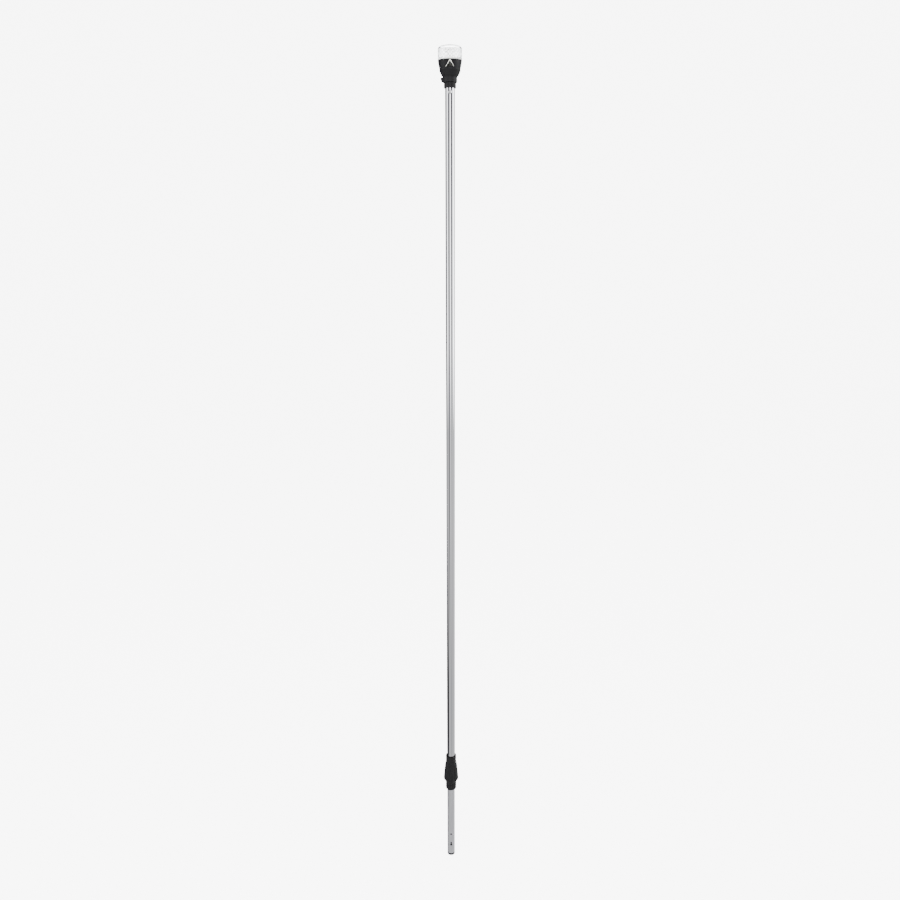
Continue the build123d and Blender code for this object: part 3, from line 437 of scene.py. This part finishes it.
finishes = {
    "polished_mast": drawn_metal(
        "polished_mast", (0.93, 0.935, 0.95), (0.88, 0.89, 0.91), 0.03, 0.07, 2400.0, 0.0000003
    ),
    "satin_plug": drawn_metal(
        "satin_plug", (0.80, 0.81, 0.835), (0.70, 0.71, 0.735), 0.34, 0.42, 1600.0, 0.000004
    ),
    "black_nylon": moulded_plastic(
        "black_nylon", (0.005, 0.005, 0.0055), (0.013, 0.013, 0.014), 0.46, gloss=0.16, dust=0.03
    ),
    "clear_lens": clear_moulding(
        # The second colour is painted shade, blended in where the lens is seen edge-on.
        "clear_lens", (0.96, 0.965, 0.972), (0.36, 0.37, 0.38), 0.015, 1.49
    ),
    "white_seal": moulded_plastic("white_seal", (0.9, 0.9, 0.89), (0.95, 0.95, 0.94), 0.5, dust=0.02),
    "black_seal": moulded_plastic(
        "black_seal", (0.007, 0.007, 0.007), (0.016, 0.016, 0.016), 0.6, gloss=0.2, dust=0.03
    ),
    "contact_brass": turned_metal("contact_brass", (0.83, 0.62, 0.28), (0.6, 0.4, 0.18), 0.25),
    "fastener_steel": turned_metal("fastener_steel", (0.66, 0.66, 0.67), (0.5, 0.5, 0.52), 0.24),
    "rivet_aluminium": turned_metal("rivet_aluminium", (0.95, 0.955, 0.96), (0.86, 0.87, 0.88), 0.3),
    "sink_aluminium": turned_metal("sink_aluminium", (0.7, 0.71, 0.72), (0.55, 0.56, 0.57), 0.4, 1800.0),
    "white_board": circuit_board("white_board", (0.92, 0.92, 0.91), (0.88, 0.88, 0.86)),
    "green_board": circuit_board("green_board", (0.02, 0.16, 0.07), (0.04, 0.26, 0.1)),
    "chip_black": moulded_plastic("chip_black", (0.02, 0.02, 0.022), (0.04, 0.04, 0.042), 0.5, dust=0.0),
    "led_package": moulded_plastic("led_package", (0.90, 0.85, 0.58), (0.93, 0.90, 0.70), 0.3, dust=0.0),
    "white_reflector": moulded_plastic(
        "white_reflector", (0.94, 0.94, 0.94), (0.96, 0.96, 0.96), 0.2, dust=0.0
    ),
    "cream_bezel": moulded_plastic("cream_bezel", (0.88, 0.87, 0.78), (0.92, 0.91, 0.85), 0.28, dust=0.02),
    "smoke_window": clear_moulding(
        # The second colour is painted shade, blended in where the window is seen edge-on.
        "smoke_window", (0.045, 0.047, 0.03), (0.02, 0.021, 0.014), 0.08, 1.5
    ),
    "button_rubber": moulded_plastic(
        "button_rubber", (0.006, 0.006, 0.0065), (0.014, 0.014, 0.015), 0.5, gloss=0.2, dust=0.03
    ),
    "red_insulation": moulded_plastic(
        "red_insulation", (0.45, 0.015, 0.012), (0.55, 0.03, 0.025), 0.35, dust=0.0
    ),
    "black_insulation": moulded_plastic("black_insulation", (0.012, 0.012, 0.012), (0.03, 0.03, 0.03), 0.35),
}


def dress_cad_nodes():
    """Gives every CAD node the finish of its own slot."""
    for part in frame["record"]["subparts"]:
        mesh = nodes[part["node"]].data
        mesh.materials.clear()
        mesh.materials.append(finishes[part["material_slot"]])


# ================================================================ world
AMBIENT_BRIGHTNESS = 1.15
STRIPE_BLUE = 1.02


def angle_ramp(tree, turn, stops):
    """Greys round the pole, a touch blue, from pairs of angle and brightness."""
    node = add_node(tree, "ShaderNodeValToRGB")
    ramp = node.color_ramp
    ramp.elements.remove(ramp.elements[-1])
    for index, (angle, brightness) in enumerate(stops):
        position = (angle + 180) / 360
        if index == 0:
            element = ramp.elements[0]
            element.position = position
        else:
            element = ramp.elements.new(position)
        share = brightness / BACKDROP_BRIGHTNESS
        element.color = (share, share, share * STRIPE_BLUE, 1)
    join(tree, turn, node.inputs[0])
    return node.outputs[0]


def make_world():
    """White surroundings, which gloss sees as tall soft boxes with dark gaps between them."""
    world = bpy.data.worlds.new("studio")
    world.use_nodes = True
    bpy.context.scene.world = world
    tree = world.node_tree
    background = tree.nodes["Background"]
    background.inputs["Strength"].default_value = BACKDROP_BRIGHTNESS
    place = add_node(tree, "ShaderNodeTexCoord")
    parts = add_node(tree, "ShaderNodeSeparateXYZ")
    join(tree, place.outputs["Generated"], parts.inputs[0])
    front = sums(tree, "MULTIPLY", parts.outputs["Y"], -1.0)
    around = sums(tree, "ARCTAN2", parts.outputs["X"], front)
    turn = value_range(tree, around, -math.pi, math.pi, 0, 1)
    seen = angle_ramp(tree, turn, STRIPE_ZONES[0][1])
    for (start, end), stops in STRIPE_ZONES[1:]:
        mask = value_range(
            tree, parts.outputs["Z"], math.sin(math.radians(start)), math.sin(math.radians(end)), 0, 1
        )
        seen = blend_colours(tree, mask, seen, angle_ramp(tree, turn, stops))
    ambient = AMBIENT_BRIGHTNESS / BACKDROP_BRIGHTNESS
    backdrop_mask, gloss_mask = lit_backdrop(tree)
    soft = blend_colours(tree, gloss_mask, (ambient, ambient, ambient), seen)
    colour = blend_colours(tree, backdrop_mask, soft, (1.0, 1.0, 1.0))
    join(tree, colour, background.inputs["Color"])


# Each zone begins to show at one angle below the horizon and is full at the next. In it
# come pairs of the angle round the pole from its front, towards +X, and brightness.
STRIPE_ZONES = (
    ((0, 0), (
        (-180, 0.02), (-102, 0.02), (-97, 1.0), (-80, 1.2), (-76, 3.0), (-53, 3.0), (-50, 0.02), (-26, 0.02),
        (-23, 0.8), (-4, 0.9), (0, 3.6), (18, 3.6), (21, 0.02), (58, 0.03), (66, 5.0), (98, 5.0),
        (106, 1.0), (180, 1.0),
    )),
    ((-8, -14), (
        (-180, 0.35), (-140, 0.4), (-110, 0.5), (-50, 0.68), (-34, 0.27), (-14, 0.19), (-6, 1.05),
        (12, 1.15), (26, 0.5), (40, 0.52), (57, 0.92), (90, 0.75), (130, 0.8), (180, 0.85),
    )),
    ((-20, -31), (
        (-180, 0.03), (-110, 0.03), (-72, 0.03), (-60, 0.08), (-48, 0.66), (-12, 0.6),
        (15, 0.46), (45, 0.6), (78, 0.62), (123, 0.8), (180, 0.8),
    )),
    ((-35.5, -37.5), (
        (-180, 0.55), (-120, 0.55), (-50, 1.02), (0, 0.85), (15, 0.76), (50, 0.92), (120, 0.95),
        (180, 0.95),
    )),
)


# ================================================================ lens drum
LENS_R = (lens_top.x - lens_low.x) / 2
LENS_WALL = 2.2 * MM
LENS_BORE_R = LENS_R - LENS_WALL
LENS_FOOT_BORE_R = LENS_BORE_R + 0.35 * MM
LENS_FOOT_HEIGHT = 1.7 * MM
LENS_FOOT_CHAMFER = 0.4 * MM
LENS_CORNER_R = 4.5 * MM
LENS_CROWN_RISE = 1.0 * MM
# Air between the crown and the cone under it, so that the two surfaces don't share a plane.
CEILING_GAP = 0.1 * MM
LENS_CEILING = cone_top.z + CEILING_GAP
CEILING_CHAMFER = LENS_CORNER_R * 0.6
PRISM_COUNT = 18
PRISM_HEIGHT = 5.2 * MM
PRISM_DEPTH = 1.3 * MM
PRISM_RUN_IN = 0.6 * MM
BORE_TOLERANCE = 0.1 * MM
SMOOTH_FROM = 0.6 * MM
WALL_ROW = 0.3 * MM
COLUMNS_PER_PRISM = 12
SMALLEST_RADIUS = 0.01 * MM
CORNER_STEPS = 10
CROWN_STEPS = 8


def lens_profile():
    """Line of the lens shell, as radius and height, from the crown's centre to the ceiling's.

    It comes with the heights between which the wall carries prisms.
    """
    corner_z = lens_top.z - LENS_CROWN_RISE - LENS_CORNER_R
    crown_r = LENS_R - LENS_CORNER_R
    points = []
    for step in range(CROWN_STEPS + 1):
        share = step / CROWN_STEPS
        points.append((crown_r * share, lens_top.z - LENS_CROWN_RISE * share ** 2))
    for step in range(1, CORNER_STEPS + 1):
        turn = math.radians(90) * step / CORNER_STEPS
        points.append((crown_r + LENS_CORNER_R * math.sin(turn), corner_z + LENS_CORNER_R * math.cos(turn)))
    points.append((LENS_R, (corner_z + lens_low.z) / 2))
    points.append((LENS_R, lens_low.z))
    points.append((LENS_FOOT_BORE_R, lens_low.z))
    points.append((LENS_FOOT_BORE_R, lens_low.z + LENS_FOOT_HEIGHT - LENS_FOOT_CHAMFER))
    wall_low = lens_low.z + LENS_FOOT_HEIGHT
    wall_high = LENS_CEILING - CEILING_CHAMFER
    rows = round((wall_high - wall_low) / WALL_ROW)
    for row in range(rows + 1):
        points.append((LENS_BORE_R, wall_low + (wall_high - wall_low) * row / rows))
    points.append((LENS_BORE_R - CEILING_CHAMFER, LENS_CEILING))
    points.append((LENS_BORE_R * 0.4, LENS_CEILING))
    points.append((0.0, LENS_CEILING))
    return points, wall_low, wall_high


def revolve_profile(name, points, columns):
    """Shell of revolution whose first and last points lie on the pole's axis."""
    mesh = bpy.data.meshes.new(name)
    builder = bmesh.new()
    first = builder.verts.new((0, 0, points[0][1]))
    last = builder.verts.new((0, 0, points[-1][1]))
    rings = []
    for radius, height in points[1:-1]:
        ring = []
        for column in range(columns):
            angle = 2 * math.pi * column / columns
            ring.append(builder.verts.new((radius * math.cos(angle), radius * math.sin(angle), height)))
        rings.append(ring)
    for column in range(columns):
        beside = (column + 1) % columns
        builder.faces.new((first, rings[0][beside], rings[0][column]))
        builder.faces.new((last, rings[-1][column], rings[-1][beside]))
        for near, far in zip(rings, rings[1:]):
            builder.faces.new((near[column], near[beside], far[beside], far[column]))
    bmesh.ops.recalc_face_normals(builder, faces=builder.faces)
    builder.to_mesh(mesh)
    builder.free()
    return mesh


def new_geometry_group(name, inputs):
    """Empty geometry node group with a geometry in and out and named inputs."""
    group = bpy.data.node_groups.new(name, "GeometryNodeTree")
    group.interface.new_socket(name="Geometry", in_out="INPUT", socket_type="NodeSocketGeometry")
    for label, kind in inputs:
        group.interface.new_socket(name=label, in_out="INPUT", socket_type=kind)
    group.interface.new_socket(name="Geometry", in_out="OUTPUT", socket_type="NodeSocketGeometry")
    return group, group.nodes.new("NodeGroupInput"), group.nodes.new("NodeGroupOutput")


def make_prism_wall():
    """Raises the lens's bore in rows of four-sided prisms that interlock like a net."""
    tree, start, end = new_geometry_group("prism_wall", [
        ("Prism Count", "NodeSocketFloat"),
        ("Prism Height", "NodeSocketFloat"),
        ("Prism Depth", "NodeSocketFloat"),
        ("Bore Radius", "NodeSocketFloat"),
        ("Wall Low", "NodeSocketFloat"),
        ("Wall High", "NodeSocketFloat"),
        ("Finish", "NodeSocketMaterial"),
    ])
    size = start.outputs
    place = add_node(tree, "GeometryNodeInputPosition")
    parts = add_node(tree, "ShaderNodeSeparateXYZ")
    join(tree, place.outputs[0], parts.inputs[0])
    across, depth, height = parts.outputs
    angle = sums(tree, "ARCTAN2", depth, across)
    squares = [sums(tree, "POWER", side, 2.0) for side in (across, depth)]
    radius = sums(tree, "SQRT", sums(tree, "ADD", *squares))
    round_cells = sums(tree, "MULTIPLY", angle, sums(tree, "DIVIDE", size["Prism Count"], 2 * math.pi))
    above = sums(tree, "SUBTRACT", height, size["Wall Low"])
    below = sums(tree, "SUBTRACT", size["Wall High"], height)
    high_cells = sums(tree, "DIVIDE", above, size["Prism Height"])
    slopes = []
    for operation in ("ADD", "SUBTRACT"):
        cell = sums(tree, operation, round_cells, high_cells)
        slopes.append(sums(tree, "ABSOLUTE", sums(tree, "SUBTRACT", cell, sums(tree, "ROUND", cell))))
    worst = sums(tree, "MAXIMUM", *slopes)
    rise = sums(tree, "SUBTRACT", 1.0, sums(tree, "MULTIPLY", worst, 2.0))
    run_in = sums(tree, "DIVIDE", sums(tree, "MINIMUM", above, below), PRISM_RUN_IN, clamp=True)
    off_bore = sums(tree, "ABSOLUTE", sums(tree, "SUBTRACT", radius, size["Bore Radius"]))
    on_bore = sums(tree, "LESS_THAN", off_bore, BORE_TOLERANCE)
    full_lift = sums(tree, "MULTIPLY", on_bore, size["Prism Depth"])
    lift = sums(tree, "MULTIPLY", sums(tree, "MULTIPLY", rise, run_in), full_lift)
    lifted_radius = sums(tree, "SUBTRACT", radius, lift)
    shrink = sums(tree, "DIVIDE", lifted_radius, sums(tree, "MAXIMUM", radius, SMALLEST_RADIUS))
    moved = add_node(tree, "ShaderNodeCombineXYZ")
    join(tree, sums(tree, "MULTIPLY", across, shrink), moved.inputs[0])
    join(tree, sums(tree, "MULTIPLY", depth, shrink), moved.inputs[1])
    join(tree, height, moved.inputs[2])
    press = add_node(tree, "GeometryNodeSetPosition")
    join(tree, size["Geometry"], press.inputs["Geometry"])
    join(tree, moved.outputs[0], press.inputs["Position"])
    smooth = add_node(tree, "GeometryNodeSetShadeSmooth")
    join(tree, press.outputs[0], smooth.inputs[0])
    outside = sums(tree, "GREATER_THAN", radius, sums(tree, "ADD", size["Bore Radius"], SMOOTH_FROM))
    join(tree, outside, smooth.inputs["Shade Smooth"])
    finish_tree(tree, smooth.outputs[0], size["Finish"], end)
    return tree


def finish_tree(tree, geometry, finish, end):
    """Last two steps of every tree: real meshes, in the right finish."""
    real = add_node(tree, "GeometryNodeRealizeInstances")
    join(tree, geometry, real.inputs[0])
    coat = add_node(tree, "GeometryNodeSetMaterial")
    join(tree, real.outputs[0], coat.inputs["Geometry"])
    join(tree, finish, coat.inputs["Material"])
    join(tree, coat.outputs[0], end.inputs["Geometry"])


def grow(name, base_mesh, tree, **settings):
    """Runs a geometry node tree on a mesh and keeps the result as a plain mesh object."""
    source = bpy.data.objects.new(name + "_source", base_mesh)
    bpy.context.scene.collection.objects.link(source)
    modifier = source.modifiers.new("build", "NODES")
    modifier.node_group = tree
    wanted = {label.replace("_", " "): value for label, value in settings.items()}
    for item in tree.interface.items_tree:
        if item.item_type == "SOCKET" and item.in_out == "INPUT" and item.name in wanted:
            modifier[item.identifier] = wanted[item.name]
    bpy.context.view_layer.update()
    shaped = source.evaluated_get(bpy.context.evaluated_depsgraph_get())
    mesh = bpy.data.meshes.new_from_object(shaped)
    mesh.name = name
    source.modifiers.remove(modifier)
    bpy.data.objects.remove(source)
    piece = bpy.data.objects.new(name, mesh)
    bpy.context.scene.collection.objects.link(piece)
    return piece


def make_lens_drum():
    """Clear lens with a smooth outside and a net of prisms moulded in its bore."""
    points, wall_low, wall_high = lens_profile()
    shell = revolve_profile("lens_shell", points, PRISM_COUNT * COLUMNS_PER_PRISM)
    drum = grow(
        "lens_drum", shell, make_prism_wall(),
        Prism_Count=float(PRISM_COUNT), Prism_Height=PRISM_HEIGHT, Prism_Depth=PRISM_DEPTH,
        Bore_Radius=LENS_BORE_R, Wall_Low=wall_low, Wall_High=wall_high, Finish=finishes["clear_lens"],
    )
    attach(drum, "mast")
    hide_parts("lens")


# ================================================================ solder joints
LED_PACKAGE = 3.0 * MM
LED_COUNT = 8
LED_RING_R = emitters_top.x - LED_PACKAGE / 2
JOINT_GAP = 0.15 * MM
JOINT_SIZE = (0.32 * MM, 1.1 * MM, 0.3 * MM)
JOINT_SEGMENTS = 14
JOINT_RINGS = 8


def make_solder_ring():
    """Lays a fillet of solder along the inner and outer edge of every LED on the board."""
    tree, start, end = new_geometry_group("solder_ring", [
        ("LED Count", "NodeSocketInt"),
        ("Ring Radius", "NodeSocketFloat"),
        ("Pad Offset", "NodeSocketFloat"),
        ("Board Top", "NodeSocketFloat"),
        ("Joint Size", "NodeSocketVector"),
        ("Finish", "NodeSocketMaterial"),
    ])
    size = start.outputs
    drop = add_node(
        tree, "GeometryNodeMeshUVSphere",
        inputs={"Segments": JOINT_SEGMENTS, "Rings": JOINT_RINGS, "Radius": 1.0},
    )
    rounded = add_node(tree, "GeometryNodeSetShadeSmooth")
    join(tree, drop.outputs["Mesh"], rounded.inputs[0])
    lift = add_node(tree, "ShaderNodeCombineXYZ")
    join(tree, size["Board Top"], lift.inputs["Z"])
    outward = add_node(tree, "FunctionNodeAlignRotationToVector", axis="X", pivot_axis="Z")
    join(tree, add_node(tree, "GeometryNodeInputPosition").outputs[0], outward.inputs["Vector"])
    both = add_node(tree, "GeometryNodeJoinGeometry")
    for side in ("SUBTRACT", "ADD"):
        ring = add_node(tree, "GeometryNodeMeshCircle")
        join(tree, size["LED Count"], ring.inputs["Vertices"])
        join(tree, sums(tree, side, size["Ring Radius"], size["Pad Offset"]), ring.inputs["Radius"])
        joints = add_node(tree, "GeometryNodeInstanceOnPoints")
        join(tree, ring.outputs["Mesh"], joints.inputs["Points"])
        join(tree, rounded.outputs[0], joints.inputs["Instance"])
        join(tree, outward.outputs[0], joints.inputs["Rotation"])
        join(tree, size["Joint Size"], joints.inputs["Scale"])
        raised = add_node(tree, "GeometryNodeTranslateInstances")
        raised.inputs["Local Space"].default_value = False
        join(tree, joints.outputs[0], raised.inputs["Instances"])
        join(tree, lift.outputs[0], raised.inputs["Translation"])
        join(tree, raised.outputs[0], both.inputs[0])
    finish_tree(tree, both.outputs[0], size["Finish"], end)
    return tree


def make_solder_joints():
    """Bright solder fillets round the anchor light's LEDs."""
    joints = grow(
        "led_solder_joints", bpy.data.meshes.new("solder_base"), make_solder_ring(),
        LED_Count=LED_COUNT, Ring_Radius=LED_RING_R, Pad_Offset=LED_PACKAGE / 2 + JOINT_GAP,
        Board_Top=board_top.z, Joint_Size=JOINT_SIZE, Finish=finishes["fastener_steel"],
    )
    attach(joints, "mast")


# ================================================================ making
make_camera()
make_lights()
make_world()
make_stage(stage_paper())
dress_cad_nodes()
make_lens_drum()
make_solder_joints()
